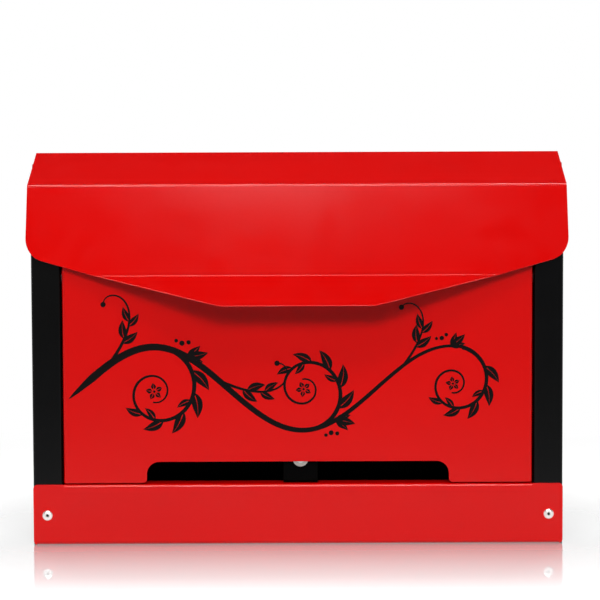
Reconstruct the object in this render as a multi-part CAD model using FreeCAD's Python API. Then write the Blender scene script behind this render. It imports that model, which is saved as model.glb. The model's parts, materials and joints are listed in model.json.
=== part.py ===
import FreeCAD, Part
import math
import os

from FreeCAD import Vector

# Wall mailbox folded from steel sheet: a case, a lid on side pivots and a door hung at its top.
# X runs to the right, Y towards the wall and Z up. Heights are measured from the bottom edge,
# and the finished pieces are lowered so that the origin is the centre of the four wall holes.

# Sheet and clearances
sheet = 1.0
bend = 1.2
seat_gap = 0.4
running_gap = 0.2
pin_clearance = 0.08
door_gap = 0.8
swing_gap = 2.0
rear_clearance = 0.5

# Case
case_width = 340.0
case_depth = 100.0
overall_height = 247.0
back_drop = 4.0
strip_width = 18.9
strip_return = 14.0
floor_flange = 12.0
floor_flange_inset = 6.0

# Wall holes
wall_hole_spacing_x = 240.0
wall_hole_spacing_z = 130.0
wall_hole_dia = 6.0
wall_hole_margin = 28.0

# Lid
lid_side_gap = 2.5
lid_top_drop = 17.0
lid_face_drop = 56.0
lid_face_tilt = 27.0
lid_standoff = 8.0
lid_cut_angle = 17.0
lid_corner_radius = 15.0
lip_length = 24.5
lip_tilt = 42.0
lip_edge_width = 98.6
lip_corner_radius = 2.0
ear_depth = 26.0
ear_corner_radius = 10.0
lid_pivot_inset = 12.5
lid_pivot_drop = 10.0

# Front rail
rail_height = 14.0
rail_return = 8.0
rail_gap = 1.4

# Door
door_proud = 0.6
door_return = 12.0
door_tuck = 7.0
door_pivot_drop = 9.0
door_pivot_depth = 7.5
notch_width = 193.8
notch_height = 13.7
notch_radius = 8.0
notch_mouth_radius = 2.5

# Front band
band_height = 38.9
band_return = 15.0
band_corner_radius = 2.5
band_rivet_inset = 9.0
band_rivet_height = 19.0

# Magnet catch
magnet_dia = 10.0
magnet_thickness = 3.0
magnet_offset = 1.7
magnet_rise = 1.6
magnet_gap = 0.3
bracket_width = 22.0
bracket_foot = 10.0
bracket_corner_radius = 5.0
bracket_rivet_spacing = 12.0

# Rivets, washers, screw and nut
rivet_dia = 3.2
rivet_head_dia = 6.6
rivet_head_height = 1.2
rivet_bore_dia = 1.9
rivet_bulb_dia = 4.8
rivet_bulb_length = 4.0
lid_pin_dia = 4.8
lid_pin_head_dia = 9.0
lid_pin_bulb_dia = 7.0
door_pin_dia = 4.0
door_pin_head_dia = 7.0
door_pin_bulb_dia = 6.0
pin_head_height = 1.4
pin_bulb_length = 3.0
washer_rim = 2.2
washer_clearance = 0.1
screw_dia = 3.0
screw_head_dia = 5.6
screw_clearance = 0.2
nut_across_flats = 5.5
nut_thickness = 2.4

# Places that follow from the sizes above
half_case = case_width / 2
lip_x = half_case - strip_width
band_top = band_height
band_front = -case_depth - sheet
lid_half = half_case + lid_side_gap + sheet
lid_rear_radius = math.hypot(lid_pivot_inset, lid_pivot_drop)
lid_pivot_y = -(sheet + rear_clearance + lid_rear_radius)
lid_pivot_z = overall_height - lid_pivot_drop
lid_back_y = lid_pivot_y + lid_pivot_inset
lid_fold_z = overall_height - lid_top_drop
lid_low_z = lid_fold_z - lid_face_drop
lid_low_y = -case_depth - lid_standoff
face_run = math.tan(math.radians(lid_face_tilt))
lid_fold_y = lid_low_y + lid_face_drop * face_run
lip_end_y = lid_low_y - lip_length * math.sin(math.radians(lip_tilt))
lip_end_z = lid_low_z - lip_length * math.cos(math.radians(lip_tilt))
back_top = overall_height - back_drop
mount_height = back_top - wall_hole_margin - wall_hole_spacing_z / 2
door_half = lip_x - door_gap
door_front = -case_depth - door_proud
door_back = door_front + sheet
door_bottom = band_top + door_gap
door_top = lid_low_z + door_tuck
door_pivot_y = -case_depth + door_pivot_depth
door_pivot_z = door_top - door_pivot_drop
door_top_radius = math.hypot(door_pivot_y - door_front, door_pivot_drop)
strip_top = door_pivot_z + door_top_radius + swing_gap
notch_top = door_bottom + notch_height
magnet_front = door_back + magnet_gap
bracket_front = magnet_front + magnet_thickness
magnet_z = notch_top + magnet_rise

# Outer line of the lid's section, from its rear edge to the end of its lip
lid_line = [
    Vector(lid_back_y, overall_height),
    Vector(lid_fold_y, lid_fold_z),
    Vector(lid_low_y, lid_low_z),
    Vector(lip_end_y, lip_end_z),
]

PLANES = {
    "xy": (lambda u, v: Vector(u, v, 0), Vector(0, 0, 1)),
    "yz": (lambda u, v: Vector(0, u, v), Vector(1, 0, 0)),
    "xz": (lambda u, v: Vector(u, 0, v), Vector(0, 1, 0)),
}


def direction(start, end):
    """Unit vector from one point of a section to another."""
    return (end - start).normalize()


def left_of(heading):
    """Unit vector to the left of a heading in a section."""
    return Vector(-heading.y, heading.x)


def offset_line(points, distance):
    """An open line moved to its left, with mitred corners."""
    headings = [direction(a, b) for a, b in zip(points, points[1:])]
    moved = [points[0] + left_of(headings[0]) * distance]
    for point, before, after in zip(points[1:], headings, headings[1:]):
        first = left_of(before)
        second = left_of(after)
        moved.append(point + (first + second) * (distance / (1 + first.dot(second))))
    moved.append(points[-1] + left_of(headings[-1]) * distance)
    return moved


def at_height(start, end, height):
    """Point of the line through two points at a given height."""
    return start + (end - start) * ((height - start.y) / (end.y - start.y))


def rounded_face(points, radii, plane):
    """Face inside a polygon whose corners are rounded, each by its own radius."""
    place = PLANES[plane][0]
    corners = []
    for index, point in enumerate(points):
        into = direction(points[index - 1], point)
        out = direction(point, points[(index + 1) % len(points)])
        half_turn = into.getAngle(out) / 2
        reach = radii[index] * math.tan(half_turn)
        inward = out - into
        inward = inward.normalize() if inward.Length > 1e-9 else left_of(out)
        middle = point + inward * (radii[index] / math.cos(half_turn) - radii[index])
        corners.append((point - into * reach, middle, point + out * reach))
    edges = []
    for before, corner in zip([corners[-1]] + corners[:-1], corners):
        if (corner[0] - before[2]).Length > 1e-6:
            edges.append(Part.makeLine(place(before[2].x, before[2].y), place(corner[0].x, corner[0].y)))
        if (corner[2] - corner[0]).Length > 1e-6:
            arc = Part.Arc(*[place(spot.x, spot.y) for spot in corner])
            edges.append(arc.toShape())
    return Part.Face(Part.Wire(edges))


def prism(points, radii, plane, start, end):
    """Rounded polygon carried along its plane's normal from start to end."""
    normal = PLANES[plane][1]
    face = rounded_face(points, radii, plane)
    face.translate(normal * start)
    return face.extrude(normal * (end - start))


def folded(points, side, plane, start, end):
    """Folded sheet: the line is one face, and the sheet lies to its left (1) or right (-1)."""
    other = offset_line(points, side * sheet)
    near = [0.0]
    far = [0.0]
    for before, point, after in zip(points, points[1:], points[2:]):
        turn = direction(before, point).cross(direction(point, after)).z * side
        near.append(bend + sheet if turn > 0 else bend)
        far.append(bend if turn > 0 else bend + sheet)
    outline = points + other[::-1]
    radii = near + [0.0, 0.0] + far[:0:-1] + [0.0]
    return prism(outline, radii, plane, start, end)


def box(x, y, z):
    """Block between pairs of coordinates."""
    corner = Vector(min(x), min(y), min(z))
    return Part.makeBox(abs(x[1] - x[0]), abs(y[1] - y[0]), abs(z[1] - z[0]), corner)


def rod(radius, start, end):
    """Cylinder between two points."""
    return Part.makeCylinder(radius, (end - start).Length, start, end - start)


def turned(points, radii, seat, axis):
    """Piece turned from a section of radii and lengths, set on its seat along an axis."""
    solid = rounded_face(points, radii, "xz").revolve(Vector(0, 0, 0), Vector(0, 0, 1), 360)
    solid.Placement = FreeCAD.Placement(seat, FreeCAD.Rotation(Vector(0, 0, 1), axis))
    return solid


def rivet(seat, axis, grip, shank, head, head_height, bulb, bulb_length):
    """Set rivet: low conical head on its seat, shank through the grip, bulb on the far side."""
    shank_r = shank / 2
    head_r = head / 2
    bulb_r = bulb / 2
    far_end = grip + bulb_length
    points = [
        Vector(0, -head_height),
        Vector(head_r - head_height, -head_height),
        Vector(head_r, 0),
        Vector(shank_r, 0),
        Vector(shank_r, grip),
        Vector(bulb_r, grip),
        Vector(bulb_r, far_end),
        Vector(0, far_end),
    ]
    return turned(points, [0] * len(points), seat, axis)


def ring(bore_r, rim_r, start, end):
    """Flat washer between two points on its axis."""
    return rod(rim_r, start, end).cut(rod(bore_r, start, end))


def mirrored(solid):
    """The same piece on the other side of the mailbox."""
    return solid.mirror(Vector(0, 0, 0), Vector(1, 0, 0))


def case_shell():
    """Back, sides and front strips with their inward folds, as one folded sheet."""
    line = [Vector(lip_x, -case_depth + strip_return), Vector(lip_x, -case_depth)]
    line += [Vector(half_case, -case_depth), Vector(half_case, 0)]
    line = [Vector(-point.x, point.y) for point in line] + line[::-1]
    shell = folded(line, -1, "xy", 0, back_top)
    back = shell.common(box((-half_case, half_case), (-sheet, 0), (0, back_top)))
    shell = shell.common(side_outline()).fuse(back)
    inner = half_case - sheet
    strip_zone = (-case_depth, -case_depth + strip_return)
    shell = shell.cut(box((-inner, inner), strip_zone, (strip_top, overall_height)))
    shell = shell.cut(box((-inner, inner), strip_zone, (0, sheet + bend)))
    holes = [rod(lid_pin_dia / 2, *lid_axis(-half_case, half_case))]
    holes.append(rod(door_pin_dia / 2, *door_axis(-half_case + sheet, half_case - sheet)))
    for x, z in wall_holes():
        holes.append(rod(wall_hole_dia / 2, Vector(x, -sheet, z), Vector(x, 0, z)))
    for x in band_rivet_places():
        seat = Vector(x, -case_depth, band_rivet_height)
        holes.append(rod(rivet_dia / 2, seat, seat + Vector(0, sheet, 0)))
    return shell.cut(Part.makeCompound(holes)).removeSplitter()


def side_outline():
    """Block with the outline of the case's sides, cut back behind the pivot for the lid's rear edge."""
    seat = offset_line(lid_line, sheet + seat_gap)
    pivot = Vector(lid_pivot_y, lid_pivot_z)
    slope = direction(seat[1], seat[0])
    top = seat[1] + slope * slope.dot(pivot - seat[1])
    ear_radius = (top - pivot).Length
    behind = pivot + Vector(ear_radius, 0)
    between = pivot + direction(pivot, top + behind - pivot) * ear_radius
    notch_z = lid_pivot_z - lid_rear_radius
    line = [
        top,
        seat[1],
        seat[2],
        Vector(seat[2].x, 0),
        Vector(0, 0),
        Vector(0, notch_z),
        Vector(lid_pivot_y, notch_z),
        behind,
    ]
    place = PLANES["yz"][0]
    line = [place(point.x, point.y) for point in line]
    edges = [Part.makeLine(start, end) for start, end in zip(line, line[1:])]
    edges.append(Part.Arc(line[-1], place(between.x, between.y), line[0]).toShape())
    face = Part.Face(Part.Wire(edges))
    face.translate(Vector(-half_case, 0, 0))
    return face.extrude(Vector(case_width, 0, 0))


def lid_axis(left, right):
    """Two points on the lid's pivot axis."""
    return Vector(left, lid_pivot_y, lid_pivot_z), Vector(right, lid_pivot_y, lid_pivot_z)


def door_axis(left, right):
    """Two points on the door's pivot axis."""
    return Vector(left, door_pivot_y, door_pivot_z), Vector(right, door_pivot_y, door_pivot_z)


def wall_holes():
    """Places of the four screw holes in the back."""
    across = wall_hole_spacing_x / 2
    up = wall_hole_spacing_z / 2
    return [(x, mount_height + z) for x in (-across, across) for z in (-up, up)]


def band_rivet_places():
    """Places of the band's rivets across the front."""
    return (-half_case + band_rivet_inset, half_case - band_rivet_inset)


def case_floor():
    """Floor pan that stands on the band's lower fold, with flanges against the sides and the back."""
    inner = half_case - sheet
    rim = 2 * sheet + floor_flange
    tongue_front = -case_depth + bend + running_gap
    pan_front = -case_depth + strip_return + door_gap
    line = [Vector(inner, rim), Vector(inner, sheet)]
    line = [Vector(-point.x, point.y) for point in line] + line[::-1]
    pan = folded(line, 1, "xz", pan_front, -sheet - floor_flange_inset)
    line = [Vector(-sheet, rim), Vector(-sheet, sheet), Vector(pan_front, sheet)]
    pan = pan.fuse(folded(line, -1, "yz", -inner + floor_flange_inset, inner - floor_flange_inset))
    corner = inner - sheet - bend
    plate = box((-corner, corner), (pan_front, -2 * sheet - bend), (sheet, 2 * sheet))
    tongue = box((-door_half, door_half), (tongue_front, pan_front), (sheet, 2 * sheet))
    return pan.fuse([plate, tongue]).removeSplitter()


def front_rail():
    """Stiffening rail behind the lid's face, on the tops of the strips and between the sides."""
    behind_face = offset_line(lid_line, sheet + rail_gap)
    low = at_height(behind_face[1], behind_face[2], strip_top)
    high = at_height(behind_face[1], behind_face[2], strip_top + rail_height)
    line = [low + Vector(rail_return, 0), low, high, high + Vector(rail_return, 0)]
    return folded(line, -1, "yz", -half_case + sheet, half_case - sheet)


def front_band():
    """Band across the bottom of the front, folded back above and below between the strips."""
    rear = band_front + band_return
    lower_half = half_case - sheet - bend
    line = [Vector(rear, band_top), Vector(band_front, band_top), Vector(band_front, sheet + bend)]
    band = folded(line, 1, "yz", -door_half, door_half)
    line = [Vector(band_front, band_top - sheet - bend), Vector(band_front, 0), Vector(rear, 0)]
    band = band.fuse(folded(line, 1, "yz", -lower_half, lower_half))
    for side in (-1, 1):
        for start, bottom in ((door_half, sheet + bend), (lower_half, 0)):
            ends = (side * start, side * half_case)
            band = band.fuse(box(ends, (band_front, -case_depth), (bottom, band_top)))
    corners = [Vector(-half_case, 0), Vector(half_case, 0)]
    corners += [Vector(half_case, band_top), Vector(-half_case, band_top)]
    outline = prism(corners, [band_corner_radius] * 4, "xz", band_front, rear)
    holes = []
    for x in band_rivet_places():
        seat = Vector(x, band_front, band_rivet_height)
        holes.append(rod(rivet_dia / 2, seat, seat + Vector(0, sheet, 0)))
    for x in bracket_rivet_places():
        seat = Vector(x, bracket_rivet_y(), band_top)
        holes.append(rod(rivet_dia / 2, seat, seat - Vector(0, 0, sheet)))
    return band.common(outline).cut(Part.makeCompound(holes)).removeSplitter()


def band_rivets():
    """Two blind rivets through the band and the strips."""
    rivets = []
    for x in band_rivet_places():
        seat = Vector(x, band_front, band_rivet_height)
        rivets.append(small_rivet(seat, Vector(0, 1, 0)))
    return Part.makeCompound(rivets)


def small_rivet(seat, axis):
    """Blind rivet through two sheets, hollow as far as its bulb."""
    grip = 2 * sheet
    solid = rivet(seat, axis, grip, rivet_dia, rivet_head_dia, rivet_head_height,
                  rivet_bulb_dia, rivet_bulb_length)
    return solid.cut(rod(rivet_bore_dia / 2, seat - axis * rivet_head_height, seat + axis * grip))


def bracket_rivet_places():
    """Places of the bracket's rivets across the front."""
    return (magnet_offset - bracket_rivet_spacing / 2, magnet_offset + bracket_rivet_spacing / 2)


def bracket_rivet_y():
    """Depth of the bracket's rivets: the middle of the flat part of its foot."""
    return bracket_front + (sheet + bend + bracket_foot) / 2


def magnet_bracket():
    """Angle on the band's upper fold that carries the magnet behind the door's notch."""
    top = magnet_z + magnet_dia / 2
    foot_end = bracket_front + bracket_foot
    line = [Vector(foot_end, band_top), Vector(bracket_front, band_top), Vector(bracket_front, top)]
    left = magnet_offset - bracket_width / 2
    right = magnet_offset + bracket_width / 2
    bracket = folded(line, -1, "yz", left, right)
    corners = [Vector(left, band_top), Vector(right, band_top), Vector(right, top), Vector(left, top)]
    radii = [0, 0, bracket_corner_radius, bracket_corner_radius]
    bracket = bracket.common(prism(corners, radii, "xz", bracket_front, foot_end))
    seat = Vector(magnet_offset, bracket_front, magnet_z)
    holes = [rod(screw_dia / 2 + screw_clearance, seat, seat + Vector(0, sheet, 0))]
    for x in bracket_rivet_places():
        seat = Vector(x, bracket_rivet_y(), band_top)
        holes.append(rod(rivet_dia / 2, seat, seat + Vector(0, 0, sheet)))
    return bracket.cut(Part.makeCompound(holes)).removeSplitter()


def bracket_rivets():
    """Two blind rivets through the bracket's foot and the band's upper fold."""
    rivets = []
    for x in bracket_rivet_places():
        seat = Vector(x, bracket_rivet_y(), band_top + sheet)
        rivets.append(small_rivet(seat, Vector(0, 0, -1)))
    return Part.makeCompound(rivets)


def countersink():
    """Depth of the screw's conical head."""
    return (screw_head_dia - screw_dia) / 2


def door_magnet():
    """Countersunk disc magnet, just behind the door."""
    bore_r = screw_dia / 2 + screw_clearance
    mouth_r = screw_head_dia / 2 + screw_clearance
    rim_r = magnet_dia / 2
    points = [
        Vector(mouth_r, 0),
        Vector(rim_r, 0),
        Vector(rim_r, magnet_thickness),
        Vector(bore_r, magnet_thickness),
        Vector(bore_r, mouth_r - bore_r),
    ]
    return turned(points, [0] * len(points), Vector(magnet_offset, magnet_front, magnet_z), Vector(0, 1, 0))


def magnet_screw():
    """Countersunk screw through the magnet and the bracket."""
    head_r = screw_head_dia / 2
    shank_r = screw_dia / 2
    sunk = screw_clearance
    neck = sunk + countersink()
    end = magnet_thickness + sheet + nut_thickness + sheet
    points = [
        Vector(0, sunk),
        Vector(head_r, sunk),
        Vector(shank_r, neck),
        Vector(shank_r, end),
        Vector(0, end),
    ]
    return turned(points, [0] * len(points), Vector(magnet_offset, magnet_front, magnet_z), Vector(0, 1, 0))


def magnet_nut():
    """Hexagon nut behind the bracket."""
    corner_r = nut_across_flats / math.sqrt(3)
    turns = [math.radians(60 * step) for step in range(6)]
    corners = [Vector(magnet_offset + corner_r * math.cos(turn), magnet_z + corner_r * math.sin(turn))
               for turn in turns]
    start = bracket_front + sheet
    nut = prism(corners, [0] * 6, "xz", start, start + nut_thickness)
    seat = Vector(magnet_offset, start, magnet_z)
    return nut.cut(rod(screw_dia / 2, seat, seat + Vector(0, nut_thickness, 0)))


def door():
    """Door with folded sides and a finger notch in its lower edge."""
    line = [Vector(door_half, door_front + door_return), Vector(door_half, door_front)]
    line = [Vector(-point.x, point.y) for point in line] + line[::-1]
    panel = folded(line, 1, "xy", door_bottom, door_top)
    notch_half = notch_width / 2
    corners = [
        Vector(door_half, door_top),
        Vector(door_half, door_bottom),
        Vector(notch_half, door_bottom),
        Vector(notch_half, notch_top),
    ]
    radii = [0, 0, notch_mouth_radius, notch_radius]
    corners += [Vector(-point.x, point.y) for point in reversed(corners)]
    radii += radii[::-1]
    panel = panel.common(prism(corners, radii, "xz", door_front, door_front + door_return))
    holes = rod(door_pin_dia / 2 + pin_clearance, *door_axis(-door_half, door_half))
    return panel.cut(holes).removeSplitter()


def door_pivot_rivets():
    """Rivets that hang the door between the strips' inward folds."""
    head_x = door_half - sheet - running_gap
    grip = lip_x + sheet - head_x
    seat = door_axis(0, head_x)[1]
    right = rivet(seat, Vector(1, 0, 0), grip, door_pin_dia, door_pin_head_dia,
                  pin_head_height, door_pin_bulb_dia, pin_bulb_length)
    return Part.makeCompound([right, mirrored(right)])


def door_pivot_washers():
    """Nylon washers between the door's sides and the strips' inward folds."""
    bore_r = door_pin_dia / 2 + washer_clearance
    right = ring(bore_r, bore_r + washer_rim, *door_axis(door_half + running_gap, lip_x))
    return Part.makeCompound([right, mirrored(right)])


def lid():
    """Lid folded twice, with a slanted cut to its lip and an ear folded down on each side."""
    panel = folded(lid_line, 1, "yz", -lid_half, lid_half)
    lid_panel = panel.common(lid_outline())
    ear = lid_ear()
    lid_panel = lid_panel.fuse([ear, mirrored(ear)])
    hole = rod(lid_pin_dia / 2 + pin_clearance, *lid_axis(-lid_half, lid_half))
    return lid_panel.cut(hole).removeSplitter()


def lid_cut_corners():
    """Front outline of the lid's cut: at the side, at the lower fold and at the end of the lip."""
    rise = math.tan(math.radians(lid_cut_angle))
    lip_half = lip_edge_width / 2
    fold_half = lip_half + lip_length / rise
    side_rise = (lid_half - fold_half) * rise * math.cos(math.radians(lid_face_tilt))
    side = Vector(lid_half, lid_low_z + side_rise)
    return [side, Vector(fold_half, lid_low_z), Vector(lip_half, lip_end_z)]


def lid_outline():
    """Block with the lid's front outline."""
    corners = [Vector(lid_half, overall_height)] + lid_cut_corners()
    radii = [0, lid_corner_radius, 0, lip_corner_radius]
    corners += [Vector(-point.x, point.y) for point in reversed(corners)]
    radii += radii[::-1]
    return prism(corners, radii, "xz", lip_end_y - sheet, lid_back_y)


def lid_ear():
    """Side ear under the lid's top, from its face to its rear edge."""
    middle = offset_line(lid_line, sheet / 2)
    front = at_height(middle[1], middle[2], lid_cut_corners()[0].y + lid_corner_radius)
    rear = Vector(lid_back_y, overall_height - ear_depth)
    corners = [middle[0], middle[1], front, rear]
    return prism(corners, [0, bend + sheet / 2, 0, ear_corner_radius], "yz", lid_half - sheet, lid_half)


def lid_pivot_rivets():
    """Rivets that carry the lid's ears on the sides of the case."""
    head_x = lid_half + running_gap
    grip = head_x - half_case + sheet
    seat = lid_axis(0, head_x)[1]
    right = rivet(seat, Vector(-1, 0, 0), grip, lid_pin_dia, lid_pin_head_dia,
                  pin_head_height, lid_pin_bulb_dia, pin_bulb_length)
    return Part.makeCompound([right, mirrored(right)])


def lid_pivot_washers():
    """Nylon spacers between the sides of the case and the lid's ears."""
    bore_r = lid_pin_dia / 2 + washer_clearance
    right = ring(bore_r, bore_r + washer_rim, *lid_axis(half_case, lid_half - sheet - running_gap))
    return Part.makeCompound([right, mirrored(right)])


PIECES = [
    case_shell,
    case_floor,
    front_rail,
    front_band,
    band_rivets,
    magnet_bracket,
    bracket_rivets,
    door_magnet,
    magnet_screw,
    magnet_nut,
    door,
    door_pivot_rivets,
    door_pivot_washers,
    lid,
    lid_pivot_rivets,
    lid_pivot_washers,
]

os.makedirs("parts", exist_ok=True)
for piece in PIECES:
    shape = piece()
    shape.translate(Vector(0, 0, -mount_height))
    shape.exportStep("parts/" + piece.__name__ + ".step")
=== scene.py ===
import json
import math

import bmesh
import bpy
from mathutils import Matrix, Vector


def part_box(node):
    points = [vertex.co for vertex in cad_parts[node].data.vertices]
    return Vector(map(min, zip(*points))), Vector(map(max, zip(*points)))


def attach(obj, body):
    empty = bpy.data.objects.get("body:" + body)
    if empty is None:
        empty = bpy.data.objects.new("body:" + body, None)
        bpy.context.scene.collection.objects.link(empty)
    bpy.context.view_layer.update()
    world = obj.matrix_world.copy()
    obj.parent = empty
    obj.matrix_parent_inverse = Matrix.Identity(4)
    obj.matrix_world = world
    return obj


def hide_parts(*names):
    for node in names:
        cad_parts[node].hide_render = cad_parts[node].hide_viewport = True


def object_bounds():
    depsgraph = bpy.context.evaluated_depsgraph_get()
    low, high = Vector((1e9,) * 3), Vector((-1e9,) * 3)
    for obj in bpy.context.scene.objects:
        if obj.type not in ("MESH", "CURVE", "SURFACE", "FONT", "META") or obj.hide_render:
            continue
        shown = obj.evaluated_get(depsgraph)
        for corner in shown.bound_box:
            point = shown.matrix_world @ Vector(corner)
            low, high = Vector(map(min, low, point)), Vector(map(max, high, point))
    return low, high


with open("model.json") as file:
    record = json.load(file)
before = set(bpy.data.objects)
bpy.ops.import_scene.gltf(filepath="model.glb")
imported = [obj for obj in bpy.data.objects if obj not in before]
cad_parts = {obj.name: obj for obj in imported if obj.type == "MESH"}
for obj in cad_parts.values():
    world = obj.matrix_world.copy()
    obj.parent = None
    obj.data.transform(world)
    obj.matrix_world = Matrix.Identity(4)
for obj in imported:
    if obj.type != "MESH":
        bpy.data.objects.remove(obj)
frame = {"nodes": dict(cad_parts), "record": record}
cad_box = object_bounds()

MM = 0.001

# Camera, fitted to the photographed edges: millimetres, degrees and pixels of a 600-pixel frame
camera_target = Vector((1.73, -60.0, 3.5))
camera_distance = 2082.0
camera_pitch = 5.69
camera_yaw = -0.08
camera_roll = -0.227
camera_focal_px = 3197.0
frame_px = 600
sensor_mm = 36.0
camera_reach_m = 200.0

# Rounding of cut edges; the lid's rim gives way to its sides over rim_turn, the normal's share sideways
coat_round = 0.42 * MM
rim_round = 0.82 * MM
rim_back_round = 0.10 * MM
rim_side_round = 0.09 * MM
rim_turn = (0.20, 0.45)
metal_round = 0.12 * MM
round_segments = 3
shortest_rounded = 0.5 * MM
shortest_on_panels = 0.1 * MM
finely_rounded = ("case_shell", "front_band")
crease_angle = math.radians(30)
weld_distance = 0.001 * MM

# Finishes that differ from the record's slot, and a darker coat painted as shade on the magnet bracket
special_finishes = {
    # The magnet bracket gets a darker, duller black than the case: painted shade for where it sits deep
    # inside the box below the door's notch
    "magnet_bracket": "painted_shade_coat",
    "door_pivot_washers": "dark_nylon",
    "lid_pivot_rivets": "red_coat",
}

# Grain of the finishes: cycles per metre and detail of a noise, then strength and depth of relief.
# Each metal sets the cycles of its own relief.
noise_range = (0.3, 0.7)
coat_drift = (9.0, 2.0)
coat_gloss = (60.0, 4.0)
coat_peel = (650.0, 3.0, 0.04, 0.10 * MM)
metal_plating = (260.0, 4.0)
metal_gloss = (900.0, 3.0)
metal_relief = (3.0, 0.10, 0.05 * MM)
nylon_cloud = (300.0, 3.0)
nylon_gloss = (1200.0, 2.0)
nylon_skin = (1500.0, 2.0, 0.08, 0.04 * MM)
nylon_roughness = (0.42, 0.56)
nylon_glow = 0.15
nylon_glow_depth = 1.0 * MM
ink_cover = (420.0, 4.0)
ink_gloss = (120.0, 3.0)
ink_peel = (650.0, 3.0, 0.05, 0.10 * MM)
ink_roughness = (0.40, 0.52)
ink_specular = 0.08

# Vine print on the door: millimetres from the door's lower left corner, phases in degrees
print_film = 0.04
print_step = 0.0015
print_inset = 3.5
print_point = 0.02
stem_middle = 61.0
stem_swing = 27.0
stem_wave = 190.0
stem_start = -14.0
stem_overrun = 16
stem_step = 4
stem_width = 5.2
stem_end_width = 1.8
stem_point_share = 0.06
stem_point_power = 0.7
bend_power = 3

# Spiral branches of the vine, with the places of their leaves counted in steps
volute_phases = (90, 270, 450)
volute_delay = 14
volute_shrink = 0.08
volute_radius = 25.0
volute_length = 142.0
volute_steps = 80
volute_width_share = 0.62
volute_end_width = 1.0
eye_radius = 7.0
outer_leaves = ((13, 1.0), (21, 1.0), (29, 0.95), (37, 0.85), (45, 0.7))
outer_lean = 0.7
outer_curl = 0.6
inner_leaves = (24, 40)
inner_share = 0.6
inner_lean = 0.9
inner_curl = 0.5

# Leaves, berries and flowers of the vine; leans and curls in radians
leaf_length = 17.0
leaf_width = 7.0
leaf_steps = 14
leaf_belly_power = 0.8
vein_half = 0.25
vein_share = 0.6
berry_steps = 12
petals = 5
petal_length = 4.2
petal_width = 3.2
petal_gap_share = 0.32
flower_eye_share = 0.2

# Tendrils of the vine, each with its phase on the stem, length and width
sprays = ((34, 64.0, 2.2), (392, 54.0, 1.7), (168, 62.0, 1.9))
spray_lean = 0.25
spray_radius = 90
spray_curl_radius = 5.0
spray_steps = 44
spray_end_width = 0.7
spray_berry = 1.7
spray_leaves = ((12, 1.0), (20, 0.85))
spray_stagger = 2
spray_leaf_share = 0.72
spray_leaf_slimness = 0.42
spray_leaf_lean = 0.75
spray_leaf_curl = 0.5

# Sheaths of leaves on the stem: lean and share of each leaf, then offset, shift and radius of each berry
calyx_delay = 40
calyx_length = 14
calyx_width = 6
calyx_lean = 0.55
calyx_curl = 0.3
calyx_leaves = ((-0.5, 0.8), (0.0, 1.0), (0.5, 0.8))
calyx_berries = ((6.0, -7.0, 1.7), (8.6, -3.6, 1.4), (5.6, -11.0, 1.2))

# Band rivets: radii and grip, then shares of the bore's radius, the head's height and the bulb's length
rivet_bore = 0.95 * MM
rivet_shank = 1.6 * MM
rivet_grip = 2.0 * MM
rivet_bulb = 2.4 * MM
mouth_depth_share = 0.2
mouth_flare = 1.15
bore_depth_share = 0.75
head_rim_share = 0.12
bulb_shoulder_share = 0.35
bulb_power = 0.5
mandrel_end = ((0.0, 0.52), (0.55, 0.50), (0.86, 0.36), (0.86, 0.2), (0.0, 0.2))
turned_steps = 48
dome_steps = 10
turned_weld = 0.0001 * MM

# Stage: reaches in metres from the case, levels where 1 is white
floor_reach = 60.0
floor_squares = 8
floor_z = cad_box[0].z
floor_roughness = 0.9
pale_tone = (0.55, 0.55, 0.55, 1.0)
dim_tone = (0.10, 0.10, 0.10, 1.0)
pale_reach = (0.20, 0.50)
floor_lift = 0.66
reflection_share = 1.26
reflection_fall = 2.5
reflection_reach = 0.20
reflection_roughness = 0.04
white_reach = (0.12, 0.40)
front_reach = (0.22, 0.90)
front_level = 0.45
room_level = 0.02
horizon_rise = (0.16, 0.34)

# Lamps: degrees round from the front and up, metres away, wide and high, and radiance
lamps = {
    "key": (0, 32, 1.7, 0.62, 0.32, 16.0),
    "left_rim": (-21.2, 30, 6.0, 0.52, 2.0, 19.0),
    "right_rim": (21.2, 30, 6.0, 0.52, 2.0, 19.0),
    "strip": (0, 63.5, 10.0, 2.0, 2.25, 20.5),
    "sheen_core": (-2.5, 55.4, 1.3, 0.15, 0.13, 3.9),
    "sheen_halo": (-0.5, 56.6, 1.35, 0.38, 0.18, 2.1),
    "left_side": (-80, 18, 1.8, 0.8, 0.8, 0.8),
    "right_side": (80, 18, 1.8, 0.8, 0.8, 0.8),
    "back_top": (180, 55, 4.0, 2.1, 0.80, 16.5),
}


def srgb(red, green, blue):
    """Linear colour of an 8-bit screen colour."""
    levels = []
    for value in (red, green, blue):
        value = value / 255
        levels.append(value / 12.92 if value <= 0.04045 else ((value + 0.055) / 1.055) ** 2.4)
    return (*levels, 1.0)


def socket(sockets, identifier):
    """Socket with an identifier, where several share a name."""
    return next(one for one in sockets if one.identifier == identifier)


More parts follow.
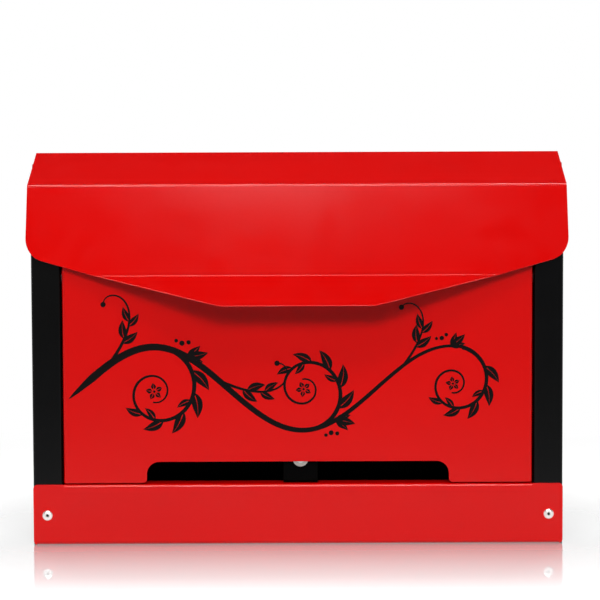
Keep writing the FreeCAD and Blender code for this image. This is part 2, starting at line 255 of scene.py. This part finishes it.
class Wiring:
    """Node tree with short helpers for wiring it up."""

    def __init__(self, tree):
        self.tree = tree
        self.nodes = tree.nodes

    def add(self, kind, **values):
        """New node with its properties and input values set."""
        node = self.nodes.new(kind)
        for key, value in values.items():
            if key in node.inputs:
                node.inputs[key].default_value = value
            else:
                setattr(node, key, value)
        return node

    def link(self, source, target):
        """Link from an output to an input."""
        self.tree.links.new(source, target)

    def feed(self, value, target):
        """Number or output on an input."""
        if isinstance(value, (int, float)):
            target.default_value = value
        else:
            self.link(value, target)

    def math(self, operation, *values):
        """Result of one operation on numbers or outputs."""
        node = self.add("ShaderNodeMath", operation=operation)
        for value, target in zip(values, node.inputs):
            self.feed(value, target)
        return node.outputs[0]

    def compare(self, value, operation, limit):
        """Truth of a comparison with a number."""
        node = self.add("FunctionNodeCompare", operation=operation, B=limit)
        self.link(value, node.inputs["A"])
        return node.outputs["Result"]

    def spread(self, value, low, high, start, end, interpolation="LINEAR"):
        """Value from one range mapped to another."""
        node = self.add("ShaderNodeMapRange", interpolation_type=interpolation)
        limits = {"From Min": start, "From Max": end, "To Min": low, "To Max": high}
        for name, limit in limits.items():
            self.feed(limit, node.inputs[name])
        self.link(value, node.inputs["Value"])
        return node.outputs["Result"]

    def axes(self, vector):
        """Outputs X, Y and Z of a vector."""
        node = self.add("ShaderNodeSeparateXYZ")
        self.link(vector, node.inputs[0])
        return node.outputs

    def join(self, kind, *sources):
        """Output of a new node fed with sources in the order of its inputs."""
        node = self.add(kind)
        for source, target in zip(sources, node.inputs):
            self.link(source, target)
        return node.outputs[0]

    def seen(self):
        """One for rays from the camera, by way of mirrors and glass too, and else zero."""
        rays = self.add("ShaderNodeLightPath").outputs
        mirrored = self.math("MAXIMUM", rays["Is Glossy Ray"], rays["Is Transmission Ray"])
        return self.math("MAXIMUM", rays["Is Camera Ray"], mirrored)


class Shader(Wiring):
    """Node material round one surface shader."""

    def __init__(self, name):
        self.material = bpy.data.materials.new(name)
        self.material.use_nodes = True
        super().__init__(self.material.node_tree)
        self.surface = self.nodes["Principled BSDF"]

    def set(self, **values):
        """Constants on the surface shader's own sockets, with _ for a space."""
        for key, value in values.items():
            self.surface.inputs[key.replace("_", " ")].default_value = value

    def place(self):
        """Coordinates that stay with the piece."""
        return self.add("ShaderNodeTexCoord").outputs["Object"]

    def noise(self, scale, detail):
        """Noise value with a scale in cycles per metre."""
        node = self.add("ShaderNodeTexNoise", Scale=scale, Detail=detail)
        self.link(self.place(), node.inputs["Vector"])
        return node.outputs["Fac"]

    def patches(self, noise, low, high):
        """Noise stretched to a range."""
        return self.spread(self.noise(*noise), low, high, *noise_range)

    def blend(self, factor, first, second):
        """Colour between two colours."""
        node = self.add("ShaderNodeMix", data_type="RGBA")
        socket(node.inputs, "A_Color").default_value = first
        socket(node.inputs, "B_Color").default_value = second
        self.link(factor, socket(node.inputs, "Factor_Float"))
        return socket(node.outputs, "Result_Color")

    def mottle(self, colours, noise):
        """Base colour that goes to and fro between two tones."""
        self.link(self.blend(self.patches(noise, 0.0, 1.0), *colours), self.surface.inputs["Base Color"])

    def uneven_gloss(self, roughness, noise):
        """Roughness that goes to and fro between two values."""
        self.link(self.patches(noise, *roughness), self.surface.inputs["Roughness"])

    def relief(self, scale, detail, strength, depth):
        """Fine relief on the surface shader's normal."""
        node = self.add("ShaderNodeBump", Strength=strength, Distance=depth)
        self.link(self.noise(scale, detail), node.inputs["Height"])
        self.link(node.outputs["Normal"], self.surface.inputs["Normal"])


def powder_coat(name, colours, roughness, specular):
    """Powder coat on sheet: fine orange peel, a slow drift of tone and uneven gloss."""
    shader = Shader(name)
    shader.mottle(colours, coat_drift)
    shader.uneven_gloss(roughness, coat_gloss)
    shader.relief(*coat_peel)
    shader.set(Specular_IOR_Level=specular)
    return shader.material


def bare_metal(name, colours, roughness, grain):
    """Metal with fine random grain and patches of duller plating."""
    shader = Shader(name)
    shader.mottle(colours, metal_plating)
    shader.uneven_gloss(roughness, metal_gloss)
    shader.relief(grain, *metal_relief)
    shader.set(Metallic=1.0)
    return shader.material


def moulded_nylon(name, colours):
    """Nylon, slightly translucent, with a dull moulded skin."""
    shader = Shader(name)
    shader.mottle(colours, nylon_cloud)
    shader.uneven_gloss(nylon_roughness, nylon_gloss)
    shader.relief(*nylon_skin)
    shader.set(Subsurface_Weight=nylon_glow, Subsurface_Scale=nylon_glow_depth)
    return shader.material


def print_ink(name, colours):
    """Black screen print: a dull film that lets a little of the coat's peel through."""
    shader = Shader(name)
    shader.mottle(colours, ink_cover)
    shader.uneven_gloss(ink_roughness, ink_gloss)
    shader.relief(*ink_peel)
    shader.set(Specular_IOR_Level=ink_specular)
    return shader.material


def make_materials():
    """Materials by name, each with two tones, a range of roughness and a specular level or a grain."""
    red = (srgb(219, 4, 2), srgb(214, 3, 2))
    black = (srgb(6, 6, 6), srgb(4, 4, 5))
    # Darker than the black coat: painted shade for the magnet bracket inside the box
    shaded = (srgb(4, 4, 4), srgb(3, 3, 3))
    aluminium = (srgb(236, 233, 230), srgb(222, 219, 216))
    nickel = (srgb(176, 170, 164), srgb(158, 152, 147))
    zinc = (srgb(206, 208, 206), srgb(190, 190, 180))
    steel = (srgb(62, 58, 56), srgb(44, 41, 40))
    natural = (srgb(236, 233, 222), srgb(224, 219, 203))
    dark = (srgb(16, 15, 15), srgb(11, 10, 11))
    ink = (srgb(5, 3, 3), srgb(9, 4, 4))
    return {
        "red_coat": powder_coat("red_coat", red, roughness=(0.115, 0.15), specular=0.20),
        "black_coat": powder_coat("black_coat", black, roughness=(0.14, 0.20), specular=0.11),
        # Painted shade: a near-black, dull coat with little specular, so the bracket reads as shadow in the
        # notch
        "painted_shade_coat": powder_coat("painted_shade_coat", shaded, roughness=(0.40, 0.50), specular=0.02),
        "rivet_alloy": bare_metal("rivet_alloy", aluminium, roughness=(0.26, 0.40), grain=1400.0),
        "nickel_plate": bare_metal("nickel_plate", nickel, roughness=(0.28, 0.42), grain=1100.0),
        "zinc_plate": bare_metal("zinc_plate", zinc, roughness=(0.28, 0.44), grain=1600.0),
        "nylon": moulded_nylon("nylon", natural),
        "dark_nylon": moulded_nylon("dark_nylon", dark),
        "print_ink": print_ink("print_ink", ink),
        "mandrel_steel": bare_metal("mandrel_steel", steel, roughness=(0.40, 0.55), grain=1800.0),
    }


def welded_shading(shortest, share=None):
    """Geometry nodes that weld a mesh, shade it smooth up to the crease angle and mark edges to round.

    A share is a function that works out how much of the rounding an edge gets.
    """
    tree = bpy.data.node_groups.new("welded_shading", "GeometryNodeTree")
    for way in ("INPUT", "OUTPUT"):
        tree.interface.new_socket("Geometry", in_out=way, socket_type="NodeSocketGeometry")
    wiring = Wiring(tree)
    angle = wiring.add("GeometryNodeInputMeshEdgeAngle").outputs
    ends = wiring.add("GeometryNodeInputMeshEdgeVertices").outputs
    length = wiring.add("ShaderNodeVectorMath", operation="DISTANCE")
    wiring.link(ends["Position 1"], length.inputs[0])
    wiring.link(ends["Position 2"], length.inputs[1])
    gentle = wiring.compare(angle["Unsigned Angle"], "LESS_THAN", crease_angle)
    convex = wiring.compare(angle["Signed Angle"], "GREATER_THAN", crease_angle)
    long = wiring.compare(length.outputs["Value"], "GREATER_THAN", shortest)
    rounded = wiring.join("FunctionNodeBooleanMath", long, convex)
    if share:
        rounded = wiring.math("MULTIPLY", rounded, share(wiring))
    edges = wiring.add("GeometryNodeSetShadeSmooth", domain="EDGE")
    wiring.link(gentle, edges.inputs["Shade Smooth"])
    mark = wiring.add("GeometryNodeStoreNamedAttribute", domain="EDGE", Name="bevel_weight_edge")
    wiring.link(rounded, mark.inputs["Value"])
    chain = [
        wiring.add("NodeGroupInput"),
        wiring.add("GeometryNodeMergeByDistance", Distance=weld_distance),
        wiring.add("GeometryNodeRemoveAttribute", Name="custom_normal"),
        wiring.add("GeometryNodeSetShadeSmooth", domain="FACE"),
        edges,
        mark,
        wiring.add("NodeGroupOutput"),
    ]
    for first, second in zip(chain, chain[1:]):
        wiring.link(first.outputs[0], second.inputs[0])
    return tree


def rim_share(wiring):
    """Share for the lid's edges: its front rim is fully rounded, its back and its sides lightly."""
    facing = wiring.axes(wiring.add("GeometryNodeInputNormal").outputs[0])
    depth = wiring.add("GeometryNodeSwitch", input_type="FLOAT")
    wiring.link(wiring.compare(facing["Y"], "LESS_THAN", 0.0), depth.inputs["Switch"])
    depth.inputs["False"].default_value = rim_back_round / rim_round
    depth.inputs["True"].default_value = 1.0
    aside = wiring.math("ABSOLUTE", facing["X"])
    return wiring.spread(aside, depth.outputs[0], rim_side_round / rim_round, *rim_turn)


def soften_edges(obj, tree, width, along_edges=False):
    """Rounded cut edges, with the flat faces between them shaded flat."""
    weld = obj.modifiers.new("welded_shading", "NODES")
    weld.node_group = tree
    bevel = obj.modifiers.new("rounded_edges", "BEVEL")
    bevel.width = width
    bevel.segments = round_segments
    bevel.limit_method = "WEIGHT"
    bevel.use_clamp_overlap = False
    bevel.loop_slide = along_edges
    flat = obj.modifiers.new("flat_shading", "WEIGHTED_NORMAL")
    flat.keep_sharp = True


def dress_nodes():
    """Finish on every solid of the frame."""
    slots = {part["node"]: part["material_slot"] for part in frame["record"]["subparts"]}
    plain = welded_shading(shortest_rounded)
    panel = welded_shading(shortest_on_panels)
    rim = welded_shading(shortest_on_panels, rim_share)
    for name, obj in frame["nodes"].items():
        obj.data.materials.clear()
        obj.data.materials.append(materials[special_finishes.get(name, slots[name])])
        broad = "coat" in slots[name] and name not in finely_rounded
        width = coat_round if broad else metal_round
        if name == "lid":
            soften_edges(obj, rim, rim_round, along_edges=True)
        elif name == "door":
            soften_edges(obj, panel, width)
        else:
            soften_edges(obj, plain, width)


def add_to_scene(name, data):
    """New object in the scene."""
    obj = bpy.data.objects.new(name, data)
    bpy.context.scene.collection.objects.link(obj)
    return obj


def turned_piece(name, profiles, seats, axis, body, *replaced):
    """Piece turned about an axis from one profile per material, repeated at its seats."""
    turn = Vector((0, 0, 1)).rotation_difference(axis).to_matrix()
    shape = bmesh.new()
    mesh = bpy.data.meshes.new(name)
    for slot, (material, profile) in enumerate(profiles):
        mesh.materials.append(materials[material])
        for seat in seats:
            rings = []
            for radius, along in profile:
                ring = []
                for step in range(turned_steps):
                    angle = 2 * math.pi * step / turned_steps
                    spot = Vector((radius * math.cos(angle), radius * math.sin(angle), along))
                    ring.append(shape.verts.new(seat + turn @ spot))
                rings.append(ring)
            for first, second in zip(rings, rings[1:]):
                for step in range(turned_steps):
                    after = (step + 1) % turned_steps
                    face = shape.faces.new((first[step], first[after], second[after], second[step]))
                    face.material_index = slot
                    face.smooth = True
    bmesh.ops.remove_doubles(shape, verts=shape.verts, dist=turned_weld)
    bmesh.ops.recalc_face_normals(shape, faces=shape.faces)
    for edge in shape.edges:
        if len(edge.link_faces) == 2 and edge.calc_face_angle() > crease_angle:
            edge.smooth = False
    shape.to_mesh(mesh)
    shape.free()
    piece = add_to_scene(name, mesh)
    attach(piece, body)
    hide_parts(*replaced)


def quarter_turn():
    """Angles of the steps along a quarter of an oval."""
    return [math.pi / 2 * step / dome_steps for step in range(dome_steps + 1)]


def rivet_profile(outer, height, length):
    """Domed rivet with a rounded mouth to its bore, a shank and a round bulb on the far side."""
    sink = height * bore_depth_share
    profile = [(0.0, -height + sink), (rivet_bore, -height + sink)]
    profile.append((rivet_bore, -height + rivet_bore * mouth_depth_share))
    mouth = rivet_bore * mouth_flare
    rim = height * head_rim_share
    for angle in quarter_turn():
        profile.append((mouth + (outer - mouth) * math.sin(angle), -rim - (height - rim) * math.cos(angle)))
    profile += [(outer, 0.0), (rivet_shank, 0.0), (rivet_shank, rivet_grip), (rivet_bulb, rivet_grip)]
    rounding = 1 - bulb_shoulder_share
    for angle in quarter_turn()[:-1]:
        far = rivet_grip + length * (bulb_shoulder_share + rounding * math.sin(angle))
        profile.append((rivet_bulb * math.cos(angle) ** bulb_power, far))
    profile.append((0.0, rivet_grip + length))
    return profile


def make_band_rivets():
    """Aluminium blind rivets of the band, with the broken end of the steel mandrel in each."""
    low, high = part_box("band_rivets")
    seat_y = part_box("front_band")[0].y
    outer = (high.z - low.z) / 2
    height = seat_y - low.y
    seats = [Vector((x, seat_y, (low.z + high.z) / 2)) for x in (low.x + outer, high.x - outer)]
    profile = rivet_profile(outer, height, high.y - seat_y - rivet_grip)
    stub = [(rivet_bore * across, -height * deep) for across, deep in mandrel_end]
    turned_piece("band_rivets_turned", [("rivet_alloy", profile), ("mandrel_steel", stub)], seats,
                 Vector((0, 1, 0)), "case", "band_rivets")


def pointing(heading):
    """Direction of a heading on the print."""
    return Vector((math.cos(heading), math.sin(heading)))


def leftward(heading):
    """Direction to the left of a heading on the print."""
    return Vector((-math.sin(heading), math.cos(heading)))


def swirl(start, heading, length, first_bend, last_bend, steps):
    """Line whose curvature grows along its length."""
    points = [start.copy()]
    step = length / steps
    for index in range(steps):
        share = (index + 0.5) / steps
        heading += (first_bend + (last_bend - first_bend) * share ** bend_power) * step
        points.append(points[-1] + pointing(heading) * step)
    return points


def heading_at(points, index):
    """Direction of a line at one of its points."""
    ahead = points[index + 1] - points[index]
    return math.atan2(ahead.y, ahead.x)


def negative(distances):
    """Distances on the other side of a line."""
    return [-distance for distance in distances]


class Print:
    """Thin film of ink built up on the door's front from flat strokes."""

    def __init__(self):
        self.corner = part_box("door")[0]
        self.mesh = bmesh.new()
        self.film = print_film

    def spot(self, point, lift):
        """Place on the door of a point in millimetres from its lower left corner."""
        return self.corner + Vector((point.x, -lift, point.y)) * MM

    def band(self, points, left, right):
        """Stroke between two distances to the left of a line, closed all round."""
        self.film += print_step
        rings = []
        for index, point in enumerate(points):
            ahead = points[min(index + 1, len(points) - 1)]
            behind = points[max(index - 1, 0)]
            heading = (ahead - behind).normalized()
            side = Vector((-heading.y, heading.x))
            rim = (point + side * left[index], point + side * right[index])
            ring = [self.mesh.verts.new(self.spot(edge, 0.0)) for edge in rim]
            ring += [self.mesh.verts.new(self.spot(edge, self.film)) for edge in reversed(rim)]
            rings.append(ring)
        for first, second in zip(rings, rings[1:]):
            for near in range(len(first)):
                far = (near + 1) % len(first)
                self.mesh.faces.new((first[near], first[far], second[far], second[near]))
        self.mesh.faces.new(rings[0][::-1])
        self.mesh.faces.new(rings[-1])

    def stroke(self, points, start_width, end_width, point_share=0.0):
        """Stem that tapers along its length, from a point where it starts freely."""
        last = len(points) - 1
        half = []
        for index in range(last + 1):
            share = index / last
            grown = min(1.0, share / point_share) ** stem_point_power if point_share else 1.0
            half.append(max((start_width + (end_width - start_width) * share) / 2 * grown, print_point))
        self.band(points, half, negative(half))

    def leaf(self, base, heading, length, width, curl=0.0):
        """Pointed leaf with a bare midrib."""
        points = swirl(base, heading, length, curl / length, curl / length, leaf_steps)
        outline = []
        inner = []
        for index in range(len(points)):
            share = index / (len(points) - 1)
            edge = max(width / 2 * math.sin(math.pi * share ** leaf_belly_power), print_point)
            outline.append(edge)
            inner.append(min(vein_half, edge * vein_share) * (1 - index / len(points)))
        self.band(points, outline, inner)
        self.band(points, negative(inner), negative(outline))

    def berry(self, centre, radius):
        """Small round fruit."""
        turns = [math.pi * step / berry_steps for step in range(berry_steps + 1)]
        line = [centre + Vector((-math.cos(turn), 0)) * radius for turn in turns]
        half = [max(math.sin(turn) * radius, print_point) for turn in turns]
        self.band(line, half, negative(half))

    def rosette(self, centre, length, width, turn):
        """Open flower with a ring of petals round its eye."""
        for step in range(petals):
            heading = turn + 2 * math.pi * step / petals
            self.leaf(centre + pointing(heading) * length * petal_gap_share, heading, length, width)
        self.berry(centre, length * flower_eye_share)

    def finish(self):
        """Print as one piece that rides on the door."""
        bmesh.ops.recalc_face_normals(self.mesh, faces=self.mesh.faces)
        mesh = bpy.data.meshes.new("vine_print")
        self.mesh.to_mesh(mesh)
        self.mesh.free()
        mesh.materials.append(materials["print_ink"])
        piece = add_to_scene("vine_print", mesh)
        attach(piece, "door")


def stem_line(start, end):
    """Points of the main stem between two phases of its wave."""
    steps = max(2, round((end - start) / stem_step))
    points = []
    for step in range(steps + 1):
        phase = start + (end - start) * step / steps
        along = print_inset + (phase - stem_start) / 360 * stem_wave
        points.append(Vector((along, stem_middle + stem_swing * math.sin(math.radians(phase)))))
    return points


def root_at(phase):
    """Place and heading of the stem where a branch leaves it."""
    stretch = stem_line(phase, phase + stem_step)
    return stretch[0], heading_at(stretch, 0)


def make_volute(ink, phase, turn, scale):
    """Spiral branch inside a bend of the stem, with leaves outside and a flower in its eye."""
    root, heading = root_at(phase + volute_delay)
    line = swirl(root, heading, volute_length * scale, turn / (volute_radius * scale),
                 turn / (eye_radius * scale), volute_steps)
    ink.stroke(line, stem_width * volute_width_share * scale, volute_end_width)
    for place, share in outer_leaves:
        heading = heading_at(line, place) - turn * outer_lean
        ink.leaf(line[place], heading, leaf_length * scale * share, leaf_width * scale * share,
                 turn * outer_curl)
    for place in inner_leaves:
        heading = heading_at(line, place) + turn * inner_lean
        ink.leaf(line[place], heading, leaf_length * inner_share * scale,
                 leaf_width * inner_share * scale, -turn * inner_curl)
    heading = heading_at(line, volute_steps - 1)
    eye = line[-1] + leftward(heading) * turn * eye_radius * scale
    ink.rosette(eye, petal_length * scale, petal_width * scale, heading)


def make_spray(ink, phase, length, width):
    """Light tendril that leaves the stem, with pairs of leaves and a curled end with a berry."""
    root, heading = root_at(phase)
    line = swirl(root, heading + spray_lean, length, 1 / spray_radius, 1 / spray_curl_radius, spray_steps)
    ink.stroke(line, width, spray_end_width)
    ink.berry(line[-1], spray_berry)
    for place, share in spray_leaves:
        size = leaf_length * spray_leaf_share * share
        for side, shift in ((-1, 0), (1, spray_stagger)):
            heading = heading_at(line, place + shift) + side * spray_leaf_lean
            slim = size * spray_leaf_slimness
            ink.leaf(line[place + shift], heading, size, slim, -side * spray_leaf_curl)


def make_calyx(ink, phase, turn, scale):
    """Sheath of leaves where a branch leaves the stem, with three berries beside it."""
    root, heading = root_at(phase)
    for lean, share in calyx_leaves:
        ink.leaf(root, heading + turn * (calyx_lean + lean), calyx_length * scale * share,
                 calyx_width * scale * share, turn * calyx_curl)
    out = leftward(heading) * turn
    along = pointing(heading)
    for away, shift, radius in calyx_berries:
        ink.berry(root + out * away * scale + along * shift * scale, radius * scale)


def make_print():
    """Running vine scroll from the left edge, with a volute in each of its bends."""
    ink = Print()
    last_phase = volute_phases[-1]
    stem = stem_line(stem_start, last_phase + stem_overrun)
    ink.stroke(stem, stem_width, stem_end_width, stem_point_share)
    for number, phase in enumerate(volute_phases):
        turn = -1 if number % 2 == 0 else 1
        scale = 1 - volute_shrink * number
        make_volute(ink, phase, turn, scale)
        make_calyx(ink, phase if phase == last_phase else phase + calyx_delay, -turn, scale)
    for spray in sprays:
        make_spray(ink, *spray)
    ink.finish()


def distance_over_floor(shader, place, low, high):
    """Distance over the floor from a box."""
    centre = (low + high) / 2
    half = (high - low) / 2
    ways = []
    for axis, name in enumerate("XY"):
        beside = shader.math("ABSOLUTE", shader.math("SUBTRACT", place[name], centre[axis]))
        beyond = shader.math("MAXIMUM", shader.math("SUBTRACT", beside, half[axis]), 0.0)
        ways.append(shader.math("POWER", beyond, 2.0))
    return shader.math("SQRT", shader.math("ADD", *ways))


def floor_material():
    """Pale floor: lit round the object so that it keeps its shadow, white further out, dimmer in front."""
    shader = Shader("pale_floor")
    low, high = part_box("case_shell")
    place = shader.axes(shader.place())
    away = distance_over_floor(shader, place, low, high)
    tone = shader.blend(shader.spread(away, 0.0, 1.0, *pale_reach), pale_tone, dim_tone)
    shader.link(tone, shader.surface.inputs["Base Color"])
    shader.set(Roughness=floor_roughness, Specular_IOR_Level=0.0)
    seen = shader.seen()
    ahead = shader.math("SUBTRACT", low.y, place["Y"])
    level = shader.spread(ahead, 1.0, front_level, *front_reach)
    lift = shader.add("ShaderNodeEmission")
    lifted = shader.math("MULTIPLY", seen, floor_lift)
    shader.link(shader.math("MULTIPLY", lifted, level), lift.inputs["Strength"])
    lit = shader.join("ShaderNodeAddShader", shader.surface.outputs[0], lift.outputs[0])
    mirror = shader.add("ShaderNodeBsdfGlossy", Roughness=reflection_roughness)
    grazing = shader.math("POWER", shader.add("ShaderNodeLayerWeight").outputs["Facing"], reflection_fall)
    from_camera = shader.add("ShaderNodeLightPath").outputs["Is Camera Ray"]
    direct = shader.math("MULTIPLY", grazing, from_camera)
    near_share = shader.spread(away, reflection_share, 0.0, 0.0, reflection_reach)
    share = shader.math("MULTIPLY", near_share, direct)
    near = shader.join("ShaderNodeMixShader", share, lit, mirror.outputs[0])
    far = shader.math("MULTIPLY", seen, shader.spread(away, 0.0, 1.0, *white_reach))
    white = shader.add("ShaderNodeEmission")
    shader.link(level, white.inputs["Strength"])
    whole = shader.join("ShaderNodeMixShader", far, near, white.outputs[0])
    shader.link(whole, shader.nodes["Material Output"].inputs["Surface"])
    return shader.material


def make_floor():
    """Large floor under the object."""
    mesh = bpy.data.meshes.new("floor")
    sheet = bmesh.new()
    bmesh.ops.create_grid(sheet, x_segments=floor_squares, y_segments=floor_squares, size=floor_reach)
    bmesh.ops.translate(sheet, verts=sheet.verts, vec=(0, 0, floor_z))
    sheet.to_mesh(mesh)
    sheet.free()
    floor = add_to_scene("floor", mesh)
    mesh.materials.append(floor_material())


def make_world():
    """Dim room that shows white at the horizon."""
    world = bpy.data.worlds.new("room")
    bpy.context.scene.world = world
    world.use_nodes = True
    room = Wiring(world.node_tree)
    height = room.axes(room.add("ShaderNodeTexCoord").outputs["Generated"])["Z"]
    low_down = room.spread(height, 1.0, 0.0, *horizon_rise, "SMOOTHSTEP")
    level = room.math("MULTIPLY_ADD", low_down, room.seen(), room_level)
    room.link(level, room.nodes["Background"].inputs["Color"])


def softbox(name, azimuth, elevation, distance, width, height, radiance):
    """Rectangular lamp aimed at the middle of the object; radiance 1 looks white."""
    data = bpy.data.lights.new(name, "AREA")
    data.shape = "RECTANGLE"
    data.size = width
    data.size_y = height
    data.energy = radiance * math.pi * width * height
    lamp = add_to_scene(name, data)
    turn = math.radians(azimuth)
    rise = math.radians(elevation)
    away = Vector((math.sin(turn) * math.cos(rise), -math.cos(turn) * math.cos(rise), math.sin(rise)))
    centre = (cad_box[0] + cad_box[1]) / 2
    lamp.location = centre + away * distance
    lamp.rotation_euler = (-away).to_track_quat("-Z", "Y").to_euler()


def make_lights():
    """Front key, far lamps for the rims and folds, a small sheen on the lid and weak sides."""
    for name, values in lamps.items():
        softbox(name, *values)


def make_camera():
    """Camera at the photograph's viewing angle."""
    pitch = math.radians(camera_pitch)
    yaw = math.radians(camera_yaw)
    roll = math.radians(camera_roll)
    view = Vector((math.sin(yaw) * math.cos(pitch), math.cos(yaw) * math.cos(pitch), -math.sin(pitch)))
    right = Vector((math.cos(yaw), -math.sin(yaw), 0))
    up = right.cross(view)
    across = right * math.cos(roll) + up * math.sin(roll)
    upward = up * math.cos(roll) - right * math.sin(roll)
    data = bpy.data.cameras.new("camera")
    data.sensor_width = sensor_mm
    data.lens = sensor_mm * camera_focal_px / frame_px
    data.clip_end = camera_reach_m
    camera = add_to_scene("camera", data)
    turn = Matrix((across, upward, -view)).transposed().to_4x4()
    place = (camera_target - view * camera_distance) * MM
    camera.matrix_world = Matrix.Translation(place) @ turn
    bpy.context.scene.camera = camera


materials = make_materials()
dress_nodes()
make_band_rivets()
make_print()
make_floor()
make_world()
make_lights()
make_camera()
bpy.context.scene.view_settings.view_transform = "Standard"
